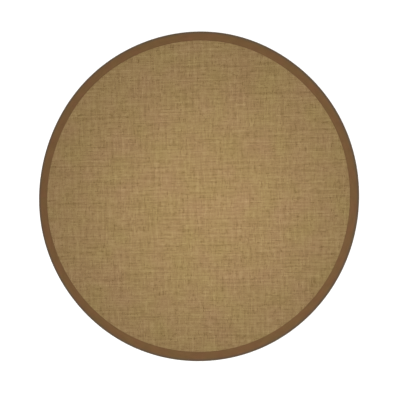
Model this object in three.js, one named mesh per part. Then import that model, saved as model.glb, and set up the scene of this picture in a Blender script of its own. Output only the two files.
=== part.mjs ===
import * as THREE from 'three';

// Round sisal rug: a thick woven sisal disc, and a broad cotton tape that is folded over its cut rim
// and sewn down, so that one leg lies on top and the other lies underneath.
// Millimetres, +Z up. The origin is the middle of the underside, on the floor.

// Driving dimensions
const RUG_RADIUS = 914.5;        // a rug 1829 mm across, the common six foot size
const SISAL_THICKNESS = 6;       // weave and its stiffening together
const TAPE_THICKNESS = 1.2;
const TAPE_WIDTH_ABOVE = 50;     // the leg that shows, from the rim to the sewn edge
const TAPE_WIDTH_BELOW = 52;     // the leg against the floor, a little wider so that the seam catches it
const ROLL_WIDTH = 9;            // the last stretch to the rim, where the tape rolls over
const TAPE_CORNER = 0.4;         // softened upper corner of the sewn edge
const LIFT_LENGTH = 40;          // stretch in which the sisal rises onto the lower leg
const CLEARANCE = 0.3;           // left between the two pieces

// Unevenness of a rug cut and bound by hand, as low waves round it: how many crests there are,
// how high they stand in mm, and the angle of one crest in degrees from +X
const OUTLINE_WAVES = [
  { lobes: 3, height: 0.85, crest: -29 },
  { lobes: 4, height: 0.4, crest: 26 },
  { lobes: 6, height: 0.6, crest: 15 },
  { lobes: 7, height: 0.5, crest: -20 },
];
const TAPE_WIDTH_WAVES = [
  { lobes: 2, height: 0.8, crest: 90 },
  { lobes: 3, height: 0.65, crest: 16 },
  { lobes: 7, height: 0.4, crest: 5 },
];

// Fineness of the faceted solids
const STEPS_ROUND = 144;
const STEPS_IN_ROLL = 6;
const STEPS_IN_LIFT = 4;

// Worked out from these
const LIFT = TAPE_THICKNESS + CLEARANCE;
const TAPE_TOP = SISAL_THICKNESS + CLEARANCE + TAPE_THICKNESS;
const ROLL_START = RUG_RADIUS - ROLL_WIDTH;
const ROLL_HEIGHT = TAPE_TOP / 2;
const TAPE_EDGE_ABOVE = RUG_RADIUS - TAPE_WIDTH_ABOVE;
const TAPE_EDGE_BELOW = RUG_RADIUS - TAPE_WIDTH_BELOW;
const LIFT_END = TAPE_EDGE_BELOW - 2 * TAPE_THICKNESS;
const LIFT_START = LIFT_END - LIFT_LENGTH;

const sisal = new THREE.MeshStandardMaterial({ color: 0xa7895d, roughness: 0.9, metalness: 0 });
const cotton = new THREE.MeshStandardMaterial({ color: 0x745637, roughness: 0.85, metalness: 0 });

/** Sum of the waves at an angle round the rug, in mm. */
function waveAt(waves, angle) {
  const crestAngle = (wave) => THREE.MathUtils.degToRad(wave.crest);
  return waves.reduce(
    (sum, wave) => sum + wave.height * Math.cos(wave.lobes * (angle - crestAngle(wave))),
    0,
  );
}

/** Points of the rolled rim, from underneath, round the outside, to the top. */
function rollPoints(width, height) {
  return Array.from({ length: STEPS_IN_ROLL + 1 }, (_, step) => {
    const turn = (step / STEPS_IN_ROLL - 0.5) * Math.PI;
    return new THREE.Vector2(
      ROLL_START + width * Math.cos(turn),
      ROLL_HEIGHT + height * Math.sin(turn),
    );
  });
}

/** Section of the sisal disc, from the middle of the underside to the middle of the top. */
function sisalSection() {
  const rise = Array.from({ length: STEPS_IN_LIFT + 1 }, (_, step) => {
    const along = step / STEPS_IN_LIFT;
    return new THREE.Vector2(
      LIFT_START + LIFT_LENGTH * along,
      LIFT * THREE.MathUtils.smoothstep(along, 0, 1),
    );
  });
  const rim = rollPoints(ROLL_WIDTH - LIFT, ROLL_HEIGHT - LIFT);
  return [
    new THREE.Vector2(0, 0),
    ...rise,
    ...rim,
    new THREE.Vector2(LIFT_START, SISAL_THICKNESS),
    new THREE.Vector2(0, SISAL_THICKNESS),
  ];
}

/** Section of the folded tape, closed on itself: outer face first, then back along the inner one. */
function tapeSection() {
  const outside = rollPoints(ROLL_WIDTH, ROLL_HEIGHT);
  const inside = rollPoints(ROLL_WIDTH - TAPE_THICKNESS, ROLL_HEIGHT - TAPE_THICKNESS).reverse();
  const lowerEnd = new THREE.Vector2(TAPE_EDGE_BELOW, 0);
  return [
    lowerEnd,
    ...outside,
    new THREE.Vector2(TAPE_EDGE_ABOVE + TAPE_CORNER, TAPE_TOP),
    new THREE.Vector2(TAPE_EDGE_ABOVE, TAPE_TOP - TAPE_CORNER),
    new THREE.Vector2(TAPE_EDGE_ABOVE, TAPE_TOP - TAPE_THICKNESS),
    ...inside,
    new THREE.Vector2(TAPE_EDGE_BELOW, TAPE_THICKNESS),
    lowerEnd.clone(),
  ];
}

/** Turns a section round +Z and gives the ring or disc the rug's uneven outline. */
function turnedPiece(section) {
  const geometry = new THREE.LatheGeometry(section, STEPS_ROUND);
  geometry.rotateX(Math.PI / 2);
  const position = geometry.getAttribute('position');
  for (let index = 0; index < position.count; index += 1) {
    const x = position.getX(index);
    const y = position.getY(index);
    const radius = Math.hypot(x, y);
    const angle = Math.atan2(y, x);
    const reach = Math.min(1, radius / LIFT_START);
    const edgeShare = THREE.MathUtils.clamp(
      (ROLL_START - radius) / (ROLL_START - TAPE_EDGE_ABOVE), 0, 1);
    const shift = waveAt(OUTLINE_WAVES, angle) - edgeShare * waveAt(TAPE_WIDTH_WAVES, angle);
    const moved = radius + reach * shift;
    position.setXY(index, moved * Math.cos(angle), moved * Math.sin(angle));
  }
  return geometry;
}

const sisalField = new THREE.Mesh(turnedPiece(sisalSection()), sisal);
sisalField.name = 'sisal_field';

const bindingTape = new THREE.Mesh(turnedPiece(tapeSection()), cotton);
bindingTape.name = 'binding_tape';

const rug = new THREE.Group();
rug.add(sisalField, bindingTape);

export default rug;
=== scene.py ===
"""Round sisal rug: a disc of flat-woven sisal with a broad cotton tape folded over its rim and sewn on.

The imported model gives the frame. This script dresses it: the weave as real yarn crossings in five
strips, the tape as one folded ring, its row of stitches, a white studio floor, light and a camera.
All lengths are metres unless a name ends in _mm.
"""

import logging
import math
from dataclasses import dataclass, field
from enum import Enum

import bmesh
import bpy
from bmesh.types import BMesh, BMFace, BMLayerItem, BMVert
from bpy.types import Material, Node, NodeSocket, NodeTree, Object
from mathutils import Matrix, Vector, noise


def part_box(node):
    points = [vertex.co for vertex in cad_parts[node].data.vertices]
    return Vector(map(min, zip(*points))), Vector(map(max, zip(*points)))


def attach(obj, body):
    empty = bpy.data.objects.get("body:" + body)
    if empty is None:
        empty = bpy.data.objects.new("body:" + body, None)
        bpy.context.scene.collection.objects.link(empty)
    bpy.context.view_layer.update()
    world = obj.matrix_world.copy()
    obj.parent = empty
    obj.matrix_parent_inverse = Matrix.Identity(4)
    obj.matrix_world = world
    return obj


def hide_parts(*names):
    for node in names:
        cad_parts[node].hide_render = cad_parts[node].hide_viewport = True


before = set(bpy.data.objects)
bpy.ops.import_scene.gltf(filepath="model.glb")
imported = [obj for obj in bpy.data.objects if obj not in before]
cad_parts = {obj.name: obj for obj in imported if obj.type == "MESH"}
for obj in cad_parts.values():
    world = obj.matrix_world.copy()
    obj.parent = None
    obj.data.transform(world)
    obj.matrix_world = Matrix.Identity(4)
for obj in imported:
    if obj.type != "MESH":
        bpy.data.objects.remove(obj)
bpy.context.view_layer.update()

log = logging.getLogger("rug")
MM = 0.001
FULL_TURN = 2 * math.pi

# From a yarn's edge to its middle, as the weave's UV map counts yarns
HALF_YARN = Vector((0.5, 0.5))

# How little the normal of a wall rises or falls, and how far that of the underside falls
WALL_NORMAL, UNDERSIDE_NORMAL = 0.01, -0.9

# Numbers of a Mix node's sockets, because their names are alike
VALUE_A, VALUE_B = 2, 3
COLOUR_A, COLOUR_B, MIXED_COLOUR = 6, 7, 2

# Values of the slow noise that give a cloth its olive and its rosy cast
CAST_SPAN = (0.3, 0.7)


# Small helpers


def linear(hex_colour: str) -> tuple[float, float, float, float]:
    """Turns an sRGB hex colour into the linear RGBA that shaders take.

    Args:
        hex_colour: six hex digits after a hash sign.

    Returns:
        linear red, green, blue and an alpha of 1.
    """
    parts = [int(hex_colour[i:i + 2], 16) / 255 for i in (1, 3, 5)]
    return (*[c / 12.92 if c <= 0.04045 else ((c + 0.055) / 1.055) ** 2.4 for c in parts], 1.0)


def smooth(share: float) -> float:
    """Eases a share from 0 to 1, held at both ends."""
    share = min(1.0, max(0.0, share))
    return share * share * (3 - 2 * share)


def feed(tree: NodeTree, node: Node, inputs: dict) -> None:
    """Sets or links the inputs of a node.

    Args:
        tree: the node tree that holds it.
        node: the node.
        inputs: for a socket's name or number, a value or the output that feeds it.
    """
    for name, value in inputs.items():
        if isinstance(value, NodeSocket):
            tree.links.new(value, node.inputs[name])
        else:
            node.inputs[name].default_value = value


def add_node(tree: NodeTree, kind: str, inputs: dict | None = None, output: int | str = 0,
             **settings: str) -> NodeSocket:
    """Adds one shader node with its settings and links.

    Args:
        tree: the node tree that it goes into.
        kind: the node's type name, after ShaderNode.
        inputs: what its sockets get, in the form that feed takes.
        output: name or number of the output that is wanted.
        **settings: its own properties, such as operation.

    Returns:
        that output of the new node.
    """
    node = tree.nodes.new("ShaderNode" + kind)
    for name, value in settings.items():
        setattr(node, name, value)
    feed(tree, node, inputs or {})
    return node.outputs[output]


def new_material(name: str) -> tuple[Material, NodeTree, Node]:
    """Starts a material.

    Args:
        name: its name.

    Returns:
        the material, its node tree and the one shader in it.
    """
    material = bpy.data.materials.new(name)
    material.use_nodes = True
    return material, material.node_tree, material.node_tree.nodes["Principled BSDF"]


def with_cast(tree: NodeTree, colour: NodeSocket, place: NodeSocket, scale: tuple, olive: str,
              rosy: str) -> NodeSocket:
    """Gives a colour a slow drift between an olive and a rosy cast.

    Args:
        tree: the node tree.
        colour: the cloth's colour.
        place: coordinates on the cloth.
        scale: patches for one unit of each coordinate.
        olive: one end of the drift, as an sRGB hex colour.
        rosy: the other end.

    Returns:
        the colour with its cast.
    """
    spread = add_node(tree, "VectorMath", {0: place, 1: scale}, operation="MULTIPLY")
    drift = add_node(tree, "TexNoise", {"Vector": spread, "Scale": 1.0, "Detail": 1.0})
    cast = add_node(tree, "ValToRGB", {0: drift})
    for stop, position, shade in zip(cast.node.color_ramp.elements, CAST_SPAN, (olive, rosy)):
        stop.position, stop.color = position, linear(shade)
    return add_node(
        tree, "Mix", {0: 1.0, COLOUR_A: colour, COLOUR_B: cast},
        output=MIXED_COLOUR, data_type="RGBA", blend_type="MULTIPLY")


def make_object(bm: BMesh, name: str, material: Material) -> Object:
    """Makes an object of a bmesh, at the origin.

    Args:
        bm: the finished mesh, which is freed here.
        name: the object's name.
        material: its finish.

    Returns:
        the new object.
    """
    mesh = bpy.data.meshes.new(name)
    bm.to_mesh(mesh)
    bm.free()
    mesh.materials.append(material)
    made = bpy.data.objects.new(name, mesh)
    bpy.context.collection.objects.link(made)
    return made


def finish_piece(bm: BMesh, name: str, material: Material, replaces: str | None) -> Object:
    """Makes a piece of the rug, dresses it and ties it to the frame.

    Args:
        bm: the finished mesh, which is freed here.
        name: the piece's name.
        material: its finish.
        replaces: the CAD node that it stands for, or None.

    Returns:
        the new object, at the origin.
    """
    piece = make_object(bm, name, material)
    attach(piece, "root")
    if replaces:
        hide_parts(replaces)
    log.info("%s: %d faces", name, len(piece.data.polygons))
    return piece


# The rug's plan, the same as in the solids


@dataclass(frozen=True)
class Wave:
    """A low wave round the rug: crests in a full turn, their height, and the angle of one crest."""

    lobes: int
    height_mm: float
    crest_deg: float

    def at(self, angle: float) -> float:
        """The wave's height at an angle from +X."""
        return self.height_mm * MM * math.cos(self.lobes * (angle - math.radians(self.crest_deg)))


@dataclass(frozen=True)
class RugPlan:
    """Sizes that the sisal and the tape share."""

    radius: float = 914.5 * MM
    tape_thickness: float = 1.2 * MM
    tape_above: float = 50 * MM
    tape_below: float = 52 * MM
    roll: float = 9 * MM
    clearance: float = 0.3 * MM
    lift_length: float = 40 * MM
    outline: tuple[Wave, ...] = (
        Wave(3, 0.85, -29),
        Wave(4, 0.4, 26),
        Wave(6, 0.6, 15),
        Wave(7, 0.5, -20),
    )
    tape_width: tuple[Wave, ...] = (Wave(2, 0.8, 90), Wave(3, 0.65, 16), Wave(7, 0.4, 5))
    sisal_top: float = field(default_factory=lambda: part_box("sisal_field")[1].z)
    tape_top: float = field(default_factory=lambda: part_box("binding_tape")[1].z)

    @property
    def lift(self) -> float:
        """How far the tape's lower leg holds the sisal off the floor."""
        return self.tape_thickness + self.clearance

    @property
    def lift_end(self) -> float:
        """Radius at which the sisal lies at its full height over the lower leg."""
        return self.radius - self.tape_below - 2 * self.tape_thickness

    @property
    def lift_start(self) -> float:
        """Radius at which the sisal leaves the floor."""
        return self.lift_end - self.lift_length

    @property
    def tape_edge(self) -> float:
        """Radius of the tape's sewn edge."""
        return self.radius - self.tape_above

    @property
    def roll_start(self) -> float:
        """Radius at which the tape begins to roll over the rim."""
        return self.radius - self.roll

    def settle(self, radius: float, angle: float) -> float:
        """Moves a radius with the hand-cut outline and the tape's uneven width.

        Args:
            radius: distance from the middle on an even rug.
            angle: angle from +X.

        Returns:
            the distance on this rug.
        """
        reach = min(1.0, radius / self.lift_start)
        share = (self.roll_start - radius) / (self.roll_start - self.tape_edge)
        share = min(1.0, max(0.0, share))
        shift = sum(wave.at(angle) for wave in self.outline)
        shift -= share * sum(wave.at(angle) for wave in self.tape_width)
        return radius + reach * shift


# Finishes


@dataclass(frozen=True)
class YarnLook:
    """How the tone of one set of yarns runs along it.

    Slubs are the thick, pale or dark stretches of a yarn spun by machine from coarse leaf fibre.
    Runs are slower changes along a yarn, and bars are faint stripes across many yarns, from the
    loom. Each yarn reads its noise one neighbour_step from the next yarn's.
    """

    slub_mm: float
    slub_strength: float
    run_mm: float
    run_strength: float
    bar_mm: float
    bar_strength: float
    neighbour_step: float
    seed: float


@dataclass(frozen=True)
class YarnGrid:
    """One set of yarns in the node tree. The warp runs along Y and the weft along X.

    Places are counted in yarns: of this set in across, and of the other in along. The first yarn
    is some half turns ahead in riding over the other set and diving under it.
    """

    look: YarnLook
    across: NodeSocket
    along: NodeSocket
    number: NodeSocket
    pitch_across_mm: float
    pitch_along_mm: float
    half_turns: int


@dataclass(frozen=True)
class WovenSisal:
    """Sisal: hard, straw-coloured leaf fibre, spun thick and thin and woven plain.

    It is matt with a faint dry lustre. No two yarns have quite the same tone, so a linen-like
    hatch of short pale and dark streaks shows in both directions, stronger along the weft. A
    slub often runs through two yarns side by side. Single fibres are too fine to show and are
    drawn about twice as wide as they are. Heights are shares, from about -1 to 1.
    """

    warp_pitch_mm: float
    weft_pitch_mm: float
    dark: str = "#84673F"
    middle: str = "#A78A5F"
    pale: str = "#C5AA7C"
    tone_stops: tuple[float, float, float] = (0.15, 0.5, 0.85)
    olive: str = "#FCFFEC"
    rosy: str = "#FFF9F7"
    drift_mm: float = 175
    warp: YarnLook = YarnLook(
        slub_mm=42, slub_strength=0.64, run_mm=90, run_strength=0.52,
        bar_mm=39, bar_strength=0.04, neighbour_step=7.37, seed=3.5)
    weft: YarnLook = YarnLook(
        slub_mm=44, slub_strength=0.64, run_mm=260, run_strength=0.83,
        bar_mm=20.7, bar_strength=0.036, neighbour_step=5.73, seed=11.5)
    slub_yarns: int = 2
    strand_detail: float = 2.0
    strand_roughness: float = 0.55
    knot_mm: float = 24
    knot_depth: float = 0.32
    knot_chance: tuple[float, float] = (0.2, 0.33)
    fibre_length_mm: float = 14
    fibre_width_mm: float = 0.45
    fibre_detail: float = 2.0
    fibre_roughness: float = 0.6
    fibre_strength: float = 0.55
    twist_deg: float = 18
    twist_mm: float = 3.4
    twist_height: float = 0.05
    ride_height: float = 0.55
    back_height: float = 0.9
    edge_height: float = -0.6
    seam_blur: float = 0.06
    show_beside: float = 0.2
    bump_mm: float = 1.3
    bump_strength: float = 0.8
    # Painted shade, with some dust, in the low places between the yarns: its strength, its brown and
    # the heights over which it fades
    crevice_shade_and_dust: float = 0.75
    crevice_shade_and_dust_brown: str = "#4A3A26"
    crevice_shade_and_dust_heights: tuple[float, float] = (-0.35, 0.45)
    roughness: float = 0.78
    specular: float = 0.25

    def material(self) -> Material:
        """Builds the material on the UV map that counts yarns.

        Returns:
            the new material.
        """
        material, tree, shader = new_material("woven_sisal_plain_weave")
        counts = add_node(tree, "UVMap", output="UV", uv_map="Yarns")
        split = add_node(tree, "SeparateXYZ", {0: counts}).node.outputs
        x, y = split["X"], split["Y"]
        floors = [add_node(tree, "Math", {0: place}, operation="FLOOR") for place in (x, y)]
        warp = YarnGrid(self.warp, x, y, floors[0], self.warp_pitch_mm, self.weft_pitch_mm, 2)
        weft = YarnGrid(self.weft, y, x, floors[1], self.weft_pitch_mm, self.warp_pitch_mm, 1)
        heights = {0: self.yarn_height(tree, weft), 1: self.yarn_height(tree, warp)}
        lead = add_node(tree, "Math", heights, operation="SUBTRACT")
        weft_share = add_node(
            tree, "MapRange",
            {"Value": lead, "From Min": -self.seam_blur, "From Max": self.seam_blur,
             "To Min": self.show_beside, "To Max": 1.0 - self.show_beside})
        top_tone = add_node(
            tree, "Mix",
            {0: weft_share, VALUE_A: self.yarn_tone(tree, warp), VALUE_B: self.yarn_tone(tree, weft)},
            data_type="FLOAT")
        top_height = add_node(tree, "Math", heights, operation="MAXIMUM")
        # The low places between the yarns get painted shade and some dust
        shaded = self.shade_crevices(tree, self.colour(tree, top_tone, counts), top_height)
        bump = add_node(
            tree, "Bump",
            {"Height": top_height, "Distance": self.bump_mm * MM, "Strength": self.bump_strength})
        feed(tree, shader, {
            "Base Color": shaded, "Normal": bump, "Roughness": self.roughness,
            "Specular IOR Level": self.specular})
        return material

    def strand(self, tree: NodeTree, yarns: YarnGrid, length_mm: float, detail: float,
               together: int) -> NodeSocket:
        """Noise that runs along each yarn and is another one on the next.

        Args:
            tree: the node tree.
            yarns: the set of yarns.
            length_mm: size of its stretches along the yarn.
            detail: finer layers of noise in it.
            together: yarns side by side that share it.

        Returns:
            an output from 0 to 1.
        """
        look = yarns.look
        shared = add_node(tree, "Math", {0: yarns.number, 1: 1 / together}, operation="MULTIPLY")
        bundle = add_node(tree, "Math", {0: shared}, operation="FLOOR")
        place = add_node(tree, "CombineXYZ", {0: yarns.along, 1: bundle, 2: look.seed + length_mm})
        scale = (yarns.pitch_along_mm / length_mm, look.neighbour_step, 1.0)
        stretched = add_node(tree, "VectorMath", {0: place, 1: scale}, operation="MULTIPLY")
        return add_node(
            tree, "TexNoise",
            {"Vector": stretched, "Scale": 1.0, "Detail": detail, "Roughness": self.strand_roughness})

    def fibres(self, tree: NodeTree, yarns: YarnGrid) -> NodeSocket:
        """Fine hairs that wind round the yarn with its twist.

        Args:
            tree: the node tree.
            yarns: the set of yarns.

        Returns:
            an output from 0 to 1.
        """
        place = add_node(tree, "CombineXYZ", {0: yarns.along, 1: yarns.across, 2: yarns.look.seed})
        pitches = (yarns.pitch_along_mm, yarns.pitch_across_mm, 1.0)
        lengths = add_node(tree, "VectorMath", {0: place, 1: pitches}, operation="MULTIPLY")
        wound = add_node(
            tree, "Mapping",
            {"Vector": lengths, "Rotation": (0.0, 0.0, math.radians(self.twist_deg)),
             "Scale": (self.fibre_length_mm, self.fibre_width_mm, 1.0)},
            vector_type="TEXTURE")
        return add_node(
            tree, "TexNoise",
            {"Vector": wound, "Scale": 1.0, "Detail": self.fibre_detail,
             "Roughness": self.fibre_roughness})

    def yarn_tone(self, tree: NodeTree, yarns: YarnGrid) -> NodeSocket:
        """Tone along each yarn: bars of the loom, slubs, long runs, fibres and a few dark knots.

        Args:
            tree: the node tree.
            yarns: the set of yarns.

        Returns:
            an output around 0.5, darker below it and paler above.
        """
        look, detail = yarns.look, self.strand_detail
        bar_turn = FULL_TURN * yarns.pitch_across_mm / look.bar_mm
        turn = add_node(tree, "Math", {0: yarns.number, 1: bar_turn}, operation="MULTIPLY")
        bars = add_node(tree, "Math", {0: turn}, operation="SINE")
        tone = add_node(
            tree, "Math", {0: bars, 1: look.bar_strength, 2: 0.5}, operation="MULTIPLY_ADD")
        layers = (
            (self.strand(tree, yarns, look.slub_mm, detail, self.slub_yarns), look.slub_strength),
            (self.strand(tree, yarns, look.run_mm, detail, 1), look.run_strength),
            (self.fibres(tree, yarns), self.fibre_strength),
        )
        for layer, strength in layers:
            centred = add_node(tree, "Math", {0: layer, 1: 0.5}, operation="SUBTRACT")
            tone = add_node(
                tree, "Math", {0: centred, 1: strength, 2: tone}, operation="MULTIPLY_ADD")
        chance = self.strand(tree, yarns, self.knot_mm, 0.0, 1)
        surely, never = self.knot_chance
        knots = add_node(
            tree, "MapRange",
            {"Value": chance, "From Min": surely, "From Max": never,
             "To Min": -self.knot_depth, "To Max": 0.0})
        return add_node(tree, "Math", {0: tone, 1: knots}, operation="ADD")

    def yarn_height(self, tree: NodeTree, yarns: YarnGrid) -> NodeSocket:
        """Height of one set of yarns, which ride over and dive under the other set in turn.

        Args:
            tree: the node tree.
            yarns: the set of yarns.

        Returns:
            a height from about -1 at a dive's edges to 1 on a float's back.
        """
        place = add_node(tree, "Math", {0: yarns.along, 1: yarns.number}, operation="ADD")
        turn = add_node(
            tree, "Math", {0: place, 1: math.pi, 2: math.pi * yarns.half_turns},
            operation="MULTIPLY_ADD")
        ride = add_node(tree, "Math", {0: turn}, operation="SINE")
        back = add_node(
            tree, "Math",
            {0: self.arch(tree, yarns.across), 1: self.back_height, 2: self.edge_height},
            operation="MULTIPLY_ADD")
        body = add_node(
            tree, "Math", {0: ride, 1: self.ride_height, 2: back}, operation="MULTIPLY_ADD")
        twist_turn = FULL_TURN * yarns.pitch_along_mm / self.twist_mm
        run = add_node(tree, "Math", {0: yarns.along, 1: twist_turn}, operation="MULTIPLY")
        slant = add_node(
            tree, "Math", {0: yarns.across, 1: FULL_TURN, 2: run}, operation="MULTIPLY_ADD")
        twist = add_node(tree, "Math", {0: slant}, operation="SINE")
        return add_node(
            tree, "Math", {0: twist, 1: self.twist_height, 2: body}, operation="MULTIPLY_ADD")

    def arch(self, tree: NodeTree, place: NodeSocket) -> NodeSocket:
        """An arch over each yarn's width.

        Args:
            tree: the node tree.
            place: count of yarns.

        Returns:
            a height from 0 at the yarn's edges to 1 over its middle.
        """
        share = add_node(tree, "Math", {0: place}, operation="FRACT")
        centred = add_node(tree, "Math", {0: share, 1: 2.0, 2: -1.0}, operation="MULTIPLY_ADD")
        squared = add_node(tree, "Math", {0: centred, 1: centred}, operation="MULTIPLY")
        return add_node(tree, "Math", {0: squared, 1: -1.0, 2: 1.0}, operation="MULTIPLY_ADD")

    def colour(self, tree: NodeTree, tone: NodeSocket, counts: NodeSocket) -> NodeSocket:
        """Turns tone into straw and brown, with a slow drift between an olive and a rosy cast.

        Args:
            tree: the node tree.
            tone: the top yarn's tone.
            counts: the UV map that counts yarns.

        Returns:
            the colour.
        """
        ramp = add_node(tree, "ValToRGB", {0: tone})
        stops = ramp.node.color_ramp.elements
        low, half, high = self.tone_stops
        stops[0].position, stops[0].color = low, linear(self.dark)
        stops[1].position, stops[1].color = high, linear(self.pale)
        stops.new(half).color = linear(self.middle)
        scale = (self.warp_pitch_mm / self.drift_mm, self.weft_pitch_mm / self.drift_mm, 0.0)
        return with_cast(tree, ramp, counts, scale, self.olive, self.rosy)

    def shade_crevices(self, tree: NodeTree, colour: NodeSocket, height: NodeSocket) -> NodeSocket:
        """Darkens the low places between the yarns with painted shade, and with the dust that sits
        there.

        Args:
            tree: the node tree.
            colour: the yarns' colour.
            height: the height of the yarn on top.

        Returns:
            the darkened colour.
        """
        deep, clear = self.crevice_shade_and_dust_heights
        # Painted shade and dust, strongest at the lowest heights
        shade = add_node(
            tree, "MapRange",
            {"Value": height, "From Min": deep, "From Max": clear,
             "To Min": self.crevice_shade_and_dust, "To Max": 0.0},
            interpolation_type="SMOOTHSTEP")
        return add_node(
            tree, "Mix", {0: shade, COLOUR_A: colour, COLOUR_B: linear(self.crevice_shade_and_dust_brown)},
            output=MIXED_COLOUR, data_type="RGBA", blend_type="MULTIPLY")


@dataclass(frozen=True)
class CottonTape:
    """Cotton tape: soft, matt, plain-woven from fine dyed thread.

    It is an even mid brown with slight mottling from the dye, and a little greyer and darker where it
    rolls over the rim: wear where it is rubbed and trodden, and painted shade where the roll turns
    down away from the light. Its threads are too fine to show and are drawn about twice as far
    apart as they are.
    """

    brown: str = "#785838"
    # The greyer, darker colour over the roll: wear, and painted shade
    worn_and_shaded: str = "#69543F"
    olive: str = "#F8FFF0"
    rosy: str = "#FFF7F6"
    drift_mm: float = 80
    mottle: float = 0.22
    mottle_mm: float = 22
    mottle_stretch: float = 2.5
    mottle_detail: float = 4.0
    mottle_roughness: float = 0.6
    # How far before and after the roll's start the wear and the painted shade fade in
    wear_and_shade_before_mm: float = 8
    wear_and_shade_after_mm: float = 3
    thread_mm: float = 1.3
    bump_mm: float = 0.18
    bump_strength: float = 0.6
    pucker: float = 0.7
    pucker_mm: float = 0.7
    pucker_reach_mm: float = 4
    pucker_strength: float = 0.8
    roughness: float = 0.88
    specular: float = 0.2
    sheen: float = 0.05

    def material(self, roll_from: float, seam: float, stitch_spacing: float) -> Material:
        """Builds the material on the UV map that measures the tape in metres.

        Args:
            roll_from: distance across the tape at which the roll begins.
            seam: distance across the tape of the row of stitches.
            stitch_spacing: distance between stitches.

        Returns:
            the new material.
        """
        material, tree, shader = new_material("cotton_tape_plain_woven")
        lengths = add_node(tree, "UVMap", output="UV", uv_map="Tape")
        split = add_node(tree, "SeparateXYZ", {0: lengths}).node.outputs
        along, girth = split["X"], split["Y"]
        patches = 1.0 / (self.mottle_mm * MM)
        scale = (patches / self.mottle_stretch, patches, 0.0)
        stretched = add_node(tree, "VectorMath", {0: lengths, 1: scale}, operation="MULTIPLY")
        cloud = add_node(
            tree, "TexNoise",
            {"Vector": stretched, "Scale": 1.0, "Detail": self.mottle_detail,
             "Roughness": self.mottle_roughness})
        value = add_node(
            tree, "Math", {0: cloud, 1: 2 * self.mottle, 2: 1.0 - self.mottle},
            operation="MULTIPLY_ADD")
        # Greyer and darker over the roll: wear, and painted shade where the roll turns down from the
        # light
        wear_and_shade = add_node(
            tree, "MapRange",
            {"Value": girth, "From Min": roll_from - self.wear_and_shade_before_mm * MM,
             "From Max": roll_from + self.wear_and_shade_after_mm * MM, "To Min": 0.0, "To Max": 1.0},
            interpolation_type="SMOOTHSTEP")
        cloth = add_node(
            tree, "Mix", {0: wear_and_shade, COLOUR_A: linear(self.brown), COLOUR_B: linear(self.worn_and_shaded)},
            output=MIXED_COLOUR, data_type="RGBA")
        drifts = 1 / (self.drift_mm * MM)
        dyed = with_cast(tree, cloth, lengths, (drifts, drifts, 0.0), self.olive, self.rosy)
        colour = add_node(tree, "VectorMath", {0: dyed, "Scale": value}, operation="SCALE")
        weave = self.weave_height(tree, along, girth)
        puckers = self.pucker_height(tree, along, girth, seam, stitch_spacing)
        fine = add_node(
            tree, "Bump",
            {"Height": weave, "Distance": self.bump_mm * MM, "Strength": self.bump_strength})
        bump = add_node(
            tree, "Bump",
            {"Height": puckers, "Distance": self.pucker_mm * MM,
             "Strength": self.pucker_strength, "Normal": fine})
        feed(tree, shader, {
            "Base Color": colour, "Normal": bump, "Roughness": self.roughness,
            "Specular IOR Level": self.specular, "Sheen Weight": self.sheen})
        return material

    def weave_height(self, tree: NodeTree, along: NodeSocket, girth: NodeSocket) -> NodeSocket:
        """Height of the fine plain weave: the product of two waves, one for each thread direction.

        Args:
            tree: the node tree.
            along: metres along the tape.
            girth: metres across the tape.

        Returns:
            a height from -1 to 1.
        """
        waves = []
        for place in (along, girth):
            turn = add_node(
                tree, "Math", {0: place, 1: math.pi / (self.thread_mm * MM)}, operation="MULTIPLY")
            waves.append(add_node(tree, "Math", {0: turn}, operation="SINE"))
        return add_node(tree, "Math", {0: waves[0], 1: waves[1]}, operation="MULTIPLY")

    def pucker_height(self, tree: NodeTree, along: NodeSocket, girth: NodeSocket, seam: float,
                      stitch_spacing: float) -> NodeSocket:
        """Small dimples where the needle went through, fading away from the seam.

        Args:
            tree: the node tree.
            along: metres along the tape.
            girth: metres across the tape.
            seam: distance across the tape of the row of stitches.
            stitch_spacing: distance between stitches.

        Returns:
            a height from 0 down to the pucker's own depth.
        """
        turn = add_node(
            tree, "Math", {0: along, 1: FULL_TURN / stitch_spacing}, operation="MULTIPLY")
        ring = add_node(tree, "Math", {0: turn}, operation="COSINE")
        deep = add_node(
            tree, "Math", {0: ring, 1: self.pucker / 2, 2: -self.pucker / 2},
            operation="MULTIPLY_ADD")
        away = add_node(tree, "Math", {0: girth, 1: seam}, operation="SUBTRACT")
        distance = add_node(tree, "Math", {0: away}, operation="ABSOLUTE")
        near = add_node(
            tree, "MapRange",
            {"Value": distance, "From Min": 0.0, "From Max": self.pucker_reach_mm * MM,
             "To Min": 1.0, "To Max": 0.0},
            interpolation_type="SMOOTHSTEP")
        return add_node(tree, "Math", {0: deep, 1: near}, operation="MULTIPLY")


@dataclass(frozen=True)
class SewingThread:
    """Spun polyester sewing thread: thin, firm, with a slight shine, dyed to match the tape.

    Its fluff is too fine to show, and is drawn as paler and darker patches along the row.
    """

    brown: str = "#6A4C2E"
    fluff_mm: float = 3.846
    fluff_detail: float = 2.0
    palest: float = 1.25
    darkest: float = 0.75
    roughness: float = 0.6

    def material(self) -> Material:
        """Builds the material, with the thread's own fine variation.

        Returns:
            the new material.
        """
        material, tree, shader = new_material("spun_sewing_thread")
        place = add_node(tree, "TexCoord", output="Object")
        cloud = add_node(
            tree, "TexNoise",
            {"Vector": place, "Scale": 1 / (self.fluff_mm * MM), "Detail": self.fluff_detail})
        value = add_node(
            tree, "Math", {0: cloud, 1: self.palest - self.darkest, 2: self.darkest},
            operation="MULTIPLY_ADD")
        colour = add_node(
            tree, "VectorMath", {0: linear(self.brown)[:3], "Scale": value}, operation="SCALE")
        feed(tree, shader, {"Base Color": colour, "Roughness": self.roughness})
        return material


# Pieces


class Level(Enum):
    """The three levels of the woven mesh. Its points stand at these numbers until they are laid out."""

    UNDERSIDE = 0
    VALLEY = 1
    CROWN = 2


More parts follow.
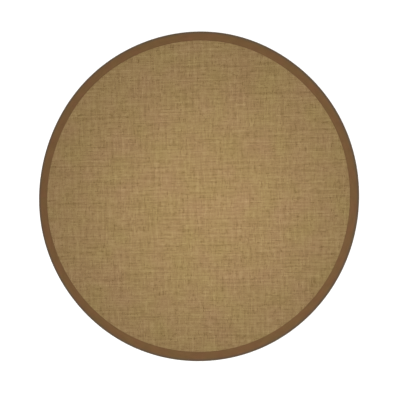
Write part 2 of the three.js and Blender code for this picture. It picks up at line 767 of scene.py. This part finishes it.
@dataclass(frozen=True)
class Sway:
    """Unevenness of yarns from seeded noise: its strength, and its steps for a yarn and a crossing."""

    strength: float
    yarn_step: float
    crossing_step: float
    seed: float = 0.0

    def at(self, yarn: float, crossing: float, seed: float) -> float:
        """The unevenness of a yarn at a crossing, for a seed that sets two directions apart."""
        place = (yarn * self.yarn_step, crossing * self.crossing_step, self.seed + seed)
        return self.strength * noise.noise(Vector(place))


@dataclass
class SisalField:
    """The woven disc, as plain-weave crossings in strips that meet along a weft yarn.

    Yarns stray by shares of their pitch, and are held firm over the last few before the rim. The
    weave is pressed flat under the tape, and pinched where the tape rolls over the cut edge.
    """

    plan: RugPlan
    warp_pitch: float = 5.0 * MM
    weft_pitch: float = 4.6 * MM
    strips: int = 5
    turn_deg: float = 1.2
    rim_gap: float = 2.5 * MM
    crown: float = 0.15 * MM
    valley: float = 0.9 * MM
    press_lead: float = 5 * MM
    press_width: float = 6 * MM
    press_share: float = 0.7
    pinch_inset: float = 4 * MM
    pinch_share: float = 0.3
    firm_yarns: int = 6
    weft_seed: float = 40.0
    thick_and_thin: Sway = Sway(0.3, 0.93, 0.13)
    bow: Sway = Sway(0.45, 0.021, 0.017, 9.0)
    slub: Sway = Sway(0.3 * MM, 5.3, 0.11, 70.0)

    @property
    def rim(self) -> float:
        """Radius of the cut edge, inside the folded tape."""
        return self.plan.radius - self.plan.tape_thickness - self.rim_gap

    def cell_inside(self, column: int, row: int) -> bool:
        """Whether a square between four crossings lies on the disc, by its middle."""
        middle = Vector(((column + 0.5) * self.warp_pitch, (row + 0.5) * self.weft_pitch))
        return middle.length < self.rim

    def on_cut_edge(self, column: int, row: int) -> bool:
        """Whether a crossing lies between a square on the disc and one off it."""
        around = {self.cell_inside(column - i, row - j) for i in (0, 1) for j in (0, 1)}
        return len(around) == 2

    def build(self, material: Material) -> None:
        """Makes the strips, each its own piece in place of the CAD sisal field.

        Args:
            material: the woven finish.
        """
        rows = 2 * math.ceil(self.rim / self.weft_pitch) + 2
        low = -rows // 2
        edges = [low + round(rows * i / self.strips) for i in range(self.strips + 1)]
        for number in range(self.strips):
            bm = self.strip(edges[number], edges[number + 1])
            area = sum(f.calc_area() for f in bm.faces if f.normal.z < UNDERSIDE_NORMAL)
            piece = finish_piece(
                bm, f"sisal_weave_{number + 1}", material, "sisal_field")

    def strip(self, first_row: int, last_row: int) -> BMesh:
        """One strip of crossings, closed underneath and along its sides.

        The mesh is first made with one unit for each yarn, which gives the UV map, and is then laid
        out at real size. The grid's corners are the crossings, whose crowns stand up, and the middle
        of each square is the hole between four of them.

        Args:
            first_row: number of the lowest grid line along the weft.
            last_row: number of the highest.

        Returns:
            the strip's mesh.
        """
        columns = 2 * math.ceil(self.rim / self.warp_pitch) + 2
        rows = last_row - first_row
        bm = bmesh.new()
        bmesh.ops.create_grid(
            bm, x_segments=columns, y_segments=rows, size=0.5,
            matrix=Matrix.Translation((0, (first_row + last_row) / 2, 0))
            @ Matrix.Diagonal((columns, rows, 1, 1)))
        outside = [
            face for face in bm.faces
            if not self.cell_inside(*[math.floor(c) for c in face.calc_center_median().xy])
        ]
        bmesh.ops.delete(bm, geom=outside, context="FACES")
        for vert in bm.verts:
            column, row = round(vert.co.x), round(vert.co.y)
            if self.on_cut_edge(column, row):
                place = Vector((column * self.warp_pitch, row * self.weft_pitch))
                place *= self.rim / place.length
                vert.co.xy = place.x / self.warp_pitch, place.y / self.weft_pitch
        woven = bmesh.ops.extrude_face_region(bm, geom=bm.faces[:], use_keep_orig=True)["geom"]
        for item in woven:
            if isinstance(item, BMVert):
                item.co.z = Level.CROWN.value
        squares = [item for item in woven if isinstance(item, BMFace)]
        poked = bmesh.ops.poke(bm, faces=squares)
        for vert in poked["verts"]:
            vert.co.z = Level.VALLEY.value
        bmesh.ops.recalc_face_normals(bm, faces=bm.faces[:])
        counts = bm.loops.layers.uv.new("Yarns")
        for face in bm.faces:
            face.smooth = True
            for loop in face.loops:
                loop[counts].uv = loop.vert.co.xy + HALF_YARN
            if abs(face.normal.z) < WALL_NORMAL:
                for edge in face.edges:
                    edge.smooth = False
        for vert in bm.verts:
            vert.co = self.lay(vert.co)
        return bm

    def lay(self, counted: Vector) -> Vector:
        """Places a point of the yarn grid on the real rug.

        Args:
            counted: warp count, weft count, and the number of a level as its height.

        Returns:
            the point in metres.
        """
        warps, wefts, level = counted
        x, y = warps * self.warp_pitch, wefts * self.weft_pitch
        radius = math.hypot(x, y)
        freedom = smooth((self.rim - radius) / (self.firm_yarns * self.warp_pitch))
        x += freedom * self.warp_pitch * self.wander(warps, wefts, 0.0)
        y += freedom * self.weft_pitch * self.wander(wefts, warps, self.weft_seed)
        turned = Matrix.Rotation(math.radians(self.turn_deg), 2) @ Vector((x, y))
        if radius:
            turned *= self.plan.settle(radius, math.atan2(turned.y, turned.x)) / radius
        return Vector((*turned, self.height(radius, warps, wefts, Level(round(level)))))

    def wander(self, own: float, along: float, seed: float) -> float:
        """How far a yarn strays to one side, in pitches: uneven thickness and a slow bow."""
        return self.thick_and_thin.at(own, along, seed) + self.bow.at(own, along, seed)

    def height(self, radius: float, warps: float, wefts: float, level: Level) -> float:
        """Height of a point: the underside lifts over the tape's leg, and yarns rise and dip.

        Args:
            radius: distance from the middle on an even rug.
            warps: warp count.
            wefts: weft count.
            level: the point's level in the mesh.

        Returns:
            the height above the floor.
        """
        plan = self.plan
        pinch_start = plan.roll_start - self.pinch_inset
        edge = smooth((radius - pinch_start) / (self.rim - pinch_start))
        pinch = edge * (plan.sisal_top - plan.lift) * self.pinch_share
        if level is Level.UNDERSIDE:
            return plan.lift * smooth((radius - plan.lift_start) / plan.lift_length) + pinch
        pressed = smooth((radius - plan.tape_edge + self.press_lead) / self.press_width)
        if level is Level.VALLEY:
            return plan.sisal_top - self.valley * (1 - self.press_share * pressed) - pinch
        weft_on_top = (round(warps) + round(wefts)) % 2
        own, along = (wefts, warps) if weft_on_top else (warps, wefts)
        rise = self.crown + self.slub.at(round(own), along, weft_on_top)
        return plan.sisal_top + rise * (1 - pressed) - pinch


@dataclass
class TapeBinding:
    """The cotton tape: one folded ring with a shallow groove where it is sewn down.

    groove_section gives the groove's points as shares of its half width and depth. flat_lines and
    under_line are where the flat legs have further rings of faces, as distances from their edges.
    """

    plan: RugPlan
    steps_round: int = 900
    roll_steps: int = 14
    seam_inset: float = 4 * MM
    groove_half_width: float = 2.2 * MM
    groove_depth: float = 0.35 * MM
    groove_section: tuple[tuple[float, float], ...] = ((-1, 0), (-0.5, 0.7), (0, 1), (0.5, 0.7), (1, 0))
    flat_lines: tuple[float, ...] = (15 * MM, 27 * MM, 36 * MM)
    under_line: float = 25 * MM
    corner: float = 0.4 * MM
    corner_round: float = 0.3
    slack: float = 0.25 * MM
    slack_from_seam: float = 8 * MM
    slack_round: float = 26
    slack_across: float = 40

    @property
    def roll_height(self) -> float:
        """Half the bound rim's height, at which the roll reaches furthest out."""
        return self.plan.tape_top / 2

    @property
    def roll_girth(self) -> float:
        """Distance across the tape at which the roll begins."""
        return self.plan.tape_above - self.plan.roll

    @property
    def flat_size(self) -> tuple[float, float]:
        """Size of the unfolded tape: both legs, and half an ellipse over the rim.

        Returns:
            its length, which is the rug's girth, and its width.
        """
        plan, wide, high = self.plan, self.plan.roll, self.roll_height
        over = math.pi / 2 * (3 * (wide + high) - math.sqrt((3 * wide + high) * (wide + 3 * high)))
        return FULL_TURN * plan.radius, plan.tape_above + plan.tape_below - 2 * plan.roll + over

    def roll(self, width: float, height: float, steps: int) -> list[Vector]:
        """Points of the rolled rim from its top, round the outside, to the underside.

        Args:
            width: how far the roll reaches out.
            height: how far it reaches up and down.
            steps: number of stretches.

        Returns:
            points in the XZ plane.
        """
        start, middle = self.plan.roll_start, self.roll_height
        turns = [math.pi * (0.5 - step / steps) for step in range(steps + 1)]
        return [Vector((start + width * math.cos(t), 0, middle + height * math.sin(t))) for t in turns]

    def section(self) -> list[Vector]:
        """The folded tape's section, from its sewn edge over the rim and back along the inside.

        Returns:
            points in the XZ plane that close on themselves.
        """
        plan, corner = self.plan, self.corner
        top, edge, thick = plan.tape_top, plan.tape_edge, plan.tape_thickness
        seam = edge + self.seam_inset
        under = plan.radius - plan.tape_below
        cut = self.corner_round * corner
        upper = [(edge, top - thick / 2), (edge + cut, top - cut), (edge + corner, top)]
        upper += [
            (seam + across * self.groove_half_width, top - deep * self.groove_depth)
            for across, deep in self.groove_section
        ]
        upper += [(edge + line, top) for line in self.flat_lines]
        lower = [
            (under + self.under_line, 0),
            (under + corner, 0),
            (under, thick / 2),
            (under + corner, thick),
        ]
        points = [Vector((x, 0, z)) for x, z in upper]
        points += self.roll(plan.roll, self.roll_height, self.roll_steps)
        points += [Vector((x, 0, z)) for x, z in lower]
        inner = self.roll(plan.roll - thick, self.roll_height - thick, self.roll_steps // 2)
        points += reversed(inner)
        points += [Vector((edge + corner / 2, 0, top - thick))]
        return points

    def build(self, material: Material) -> Object:
        """Spins the section round the rug and lets the cloth lie a little unevenly.

        Args:
            material: the tape's finish.

        Returns:
            the tape.
        """
        bm = bmesh.new()
        girth = bm.verts.layers.float.new("girth")
        points = self.section()
        verts = [bm.verts.new(point) for point in points]
        for index, vert in enumerate(verts):
            step = (points[index] - points[index - 1]).length if index else 0.0
            vert[girth] = verts[index - 1][girth] + step if index else 0.0
        edges = [bm.edges.new(pair) for pair in zip(verts, verts[1:] + verts[:1])]
        bmesh.ops.spin(
            bm, geom=verts + edges, axis=(0, 0, 1), cent=(0, 0, 0), angle=FULL_TURN,
            steps=self.steps_round, use_merge=True)
        bmesh.ops.recalc_face_normals(bm, faces=bm.faces[:])
        self.unroll(bm, girth)
        for vert in bm.verts:
            vert.co = self.lay(vert.co)
        return finish_piece(bm, "tape_binding", material, "binding_tape")

    def unroll(self, bm: BMesh, girth: BMLayerItem) -> None:
        """Gives the ring a UV map that measures it along and across in metres.

        Args:
            bm: the ring.
            girth: the layer that holds each vertex's distance across the tape.
        """
        lengths = bm.loops.layers.uv.new("Tape")
        for face in bm.faces:
            face.smooth = True
            middle = face.calc_center_median()
            at = math.atan2(middle.y, middle.x)
            spread = [loop.vert[girth] for loop in face.loops]
            closing = max(spread) - min(spread) > self.plan.tape_above
            for loop in face.loops:
                angle = math.atan2(loop.vert.co.y, loop.vert.co.x)
                angle += FULL_TURN * round((at - angle) / FULL_TURN)
                loop[lengths].uv = angle * self.plan.radius, 0.0 if closing else loop.vert[girth]

    def lay(self, point: Vector) -> Vector:
        """Moves a point of the even ring to where the hand-sewn tape lies.

        Args:
            point: a point of the ring.

        Returns:
            the point on the real rug.
        """
        radius, angle = math.hypot(point.x, point.y), math.atan2(point.y, point.x)
        settled = self.plan.settle(radius, angle)
        lifted = self.slack * smooth((point.z - self.plan.sisal_top) / self.plan.tape_thickness)
        off_seam = smooth((radius - self.plan.tape_edge - self.seam_inset) / self.slack_from_seam)
        place = Vector((
            math.cos(angle) * self.slack_round,
            math.sin(angle) * self.slack_round,
            radius * self.slack_across,
        ))
        rise = lifted * off_seam * noise.noise(place)
        return Vector((settled * math.cos(angle), settled * math.sin(angle), point.z + rise))


@dataclass
class EdgeStitching:
    """The row of lockstitches that holds the tape, as small grains of thread in its groove."""

    plan: RugPlan
    tape: TapeBinding
    count: int = 980
    thread: float = 0.7 * MM
    flatness: float = 0.8
    proud: float = 0.1
    fill: float = 0.72
    facets: tuple[int, int] = (6, 5)

    @property
    def spacing(self) -> float:
        """Distance between stitches at the rug's full radius, as the tape's UV map measures it."""
        return FULL_TURN * self.plan.radius / self.count

    def build(self, material: Material) -> Object:
        """Makes one stitch and repeats it round the seam.

        Args:
            material: the thread's finish.

        Returns:
            all the stitches as one piece.
        """
        seam = self.plan.tape_edge + self.tape.seam_inset
        length = self.fill * FULL_TURN * seam / self.count
        height = self.plan.tape_top - self.tape.groove_depth + self.proud * self.thread
        bm = bmesh.new()
        sides, rings = self.facets
        bmesh.ops.create_uvsphere(
            bm, u_segments=sides, v_segments=rings, radius=0.5,
            matrix=Matrix.Translation((seam, 0, height))
            @ Matrix.Rotation(math.pi / 2, 4, "X")
            @ Matrix.Diagonal((self.thread, self.flatness * self.thread, length, 1)))
        step = FULL_TURN / self.count
        bmesh.ops.rotate(
            bm, verts=bm.verts[:], cent=(0, 0, 0), matrix=Matrix.Rotation(step / 2, 3, "Z"))
        bmesh.ops.spin(
            bm, geom=bm.verts[:] + bm.edges[:] + bm.faces[:], axis=(0, 0, 1), cent=(0, 0, 0),
            angle=FULL_TURN - step, steps=self.count - 1, use_duplicate=True)
        for face in bm.faces:
            face.smooth = True
        for vert in bm.verts:
            angle = math.atan2(vert.co.y, vert.co.x)
            radius = math.hypot(vert.co.x, vert.co.y)
            scale = self.plan.settle(radius, angle) / radius
            vert.co.xy = vert.co.xy * scale
        return finish_piece(bm, "edge_stitching", material, None)


# The studio


@dataclass
class Studio:
    """White floor, white surroundings, one softbox and an even fill."""

    floor_size: float = 120.0
    backdrop_radius: float = 90.0
    floor_white: str = "#F4F4F2"
    floor_glow: float = 0.5
    backdrop_glow: float = 1.0
    fill: float = 0.565
    softbox_size: float = 1.0
    softbox_at: tuple[float, float, float] = (0.093, -0.066, 1.27)
    softbox_power: float = 13.0

    def build(self) -> None:
        """Makes the stage and the lights."""
        bm = bmesh.new()
        bmesh.ops.create_grid(bm, x_segments=1, y_segments=1, size=self.floor_size / 2)
        floor = make_object(bm, "floor", self.glowing("white_floor", self.floor_glow, 1.0))
        bm = bmesh.new()
        bmesh.ops.create_icosphere(bm, subdivisions=3, radius=self.backdrop_radius)
        bmesh.ops.reverse_faces(bm, faces=bm.faces[:])
        backdrop = make_object(bm, "backdrop", self.glowing("white_backdrop", self.backdrop_glow, 0.0))
        backdrop.visible_diffuse = False
        backdrop.visible_glossy = False
        backdrop.visible_shadow = False
        world = bpy.data.worlds.new("studio_fill")
        world.use_nodes = True
        background = world.node_tree.nodes["Background"]
        feed(world.node_tree, background, {"Strength": self.fill, "Color": (1, 1, 1, 1)})
        bpy.context.scene.world = world
        lamp = bpy.data.lights.new("softbox", "AREA")
        lamp.energy = self.softbox_power
        lamp.shape = "DISK"
        lamp.size = self.softbox_size
        softbox = bpy.data.objects.new("softbox", lamp)
        softbox.location = self.softbox_at
        softbox.visible_camera = False
        bpy.context.collection.objects.link(softbox)

    def glowing(self, name: str, glow: float, diffuse: float) -> Material:
        """A white finish with some light of its own, as an overexposed studio sweep has.

        Args:
            name: the material's name.
            glow: strength of its own light.
            diffuse: share of light that it reflects.

        Returns:
            the material.
        """
        material, tree, shader = new_material(name)
        white = [c * diffuse for c in linear(self.floor_white)[:3]]
        feed(tree, shader, {
            "Base Color": (*white, 1.0), "Roughness": 1.0, "Specular IOR Level": 0.0,
            "Emission Color": (1, 1, 1, 1), "Emission Strength": glow})
        return material


@dataclass
class PhotoCamera:
    """The camera, almost straight above, leaning sideways so that the round rug looks 3% narrower.

    The photograph's outline is an ellipse. Its long axis is the rug's true diameter, and the short
    one is foreshortened by the lean.
    """

    image_px: float = 400
    centre_px: tuple[float, float] = (198.65, 196.03)
    long_axis_px: float = 329.74
    short_axis_px: float = 320.03
    long_axis_deg: float = 84.7
    lens_mm: float = 200
    sensor_mm: float = 36
    clip_end: float = 500

    def build(self, plan: RugPlan) -> None:
        """Places the camera and makes it the scene's own.

        Args:
            plan: gives the rug's diameter.
        """
        scale = 2 * plan.radius / self.long_axis_px
        distance = self.lens_mm / self.sensor_mm * self.image_px * scale
        lean = math.acos(self.short_axis_px / self.long_axis_px)
        turn = math.radians(self.long_axis_deg)
        long_axis = Vector((math.cos(turn), math.sin(turn), 0))
        side = Vector((math.sin(turn), -math.cos(turn), 0))
        back = Vector((0, 0, 1)) * math.cos(lean) + side * math.sin(lean)
        narrow = long_axis.cross(back)
        off = math.pi / 2 - turn
        right = narrow * math.cos(off) + long_axis * math.sin(off)
        up = long_axis * math.cos(off) - narrow * math.sin(off)
        nearer = plan.radius ** 2 * math.sin(lean) * math.cos(lean) / distance
        middle = (self.image_px - 1) / 2
        shift_right = (middle - self.centre_px[0]) * scale
        shift_up = (self.centre_px[1] - middle) * scale
        target = right * shift_right + up * shift_up + narrow * nearer
        target += Vector((0, 0, plan.tape_top / 2))
        data = bpy.data.cameras.new("camera")
        data.lens = self.lens_mm
        data.sensor_width = self.sensor_mm
        data.clip_end = self.clip_end
        camera = bpy.data.objects.new("camera", data)
        camera.matrix_world = Matrix.Translation(target + back * distance) @ Matrix(
            (right, up, back)).transposed().to_4x4()
        bpy.context.collection.objects.link(camera)
        bpy.context.scene.camera = camera


def main() -> None:
    """Builds the rug, the studio and the camera."""
    logging.basicConfig(level=logging.INFO, format="%(name)s: %(message)s")
    bpy.context.scene.view_settings.view_transform = "Standard"
    plan = RugPlan()
    PhotoCamera().build(plan)
    Studio().build()
    sisal = SisalField(plan)
    woven = WovenSisal(sisal.warp_pitch / MM, sisal.weft_pitch / MM)
    sisal.build(woven.material())
    tape = TapeBinding(plan)
    stitching = EdgeStitching(plan, tape)
    cotton = CottonTape()
    ring = tape.build(cotton.material(tape.roll_girth, tape.seam_inset, stitching.spacing))
    stitches = stitching.build(SewingThread().material())


if __name__ == "__main__":
    main()
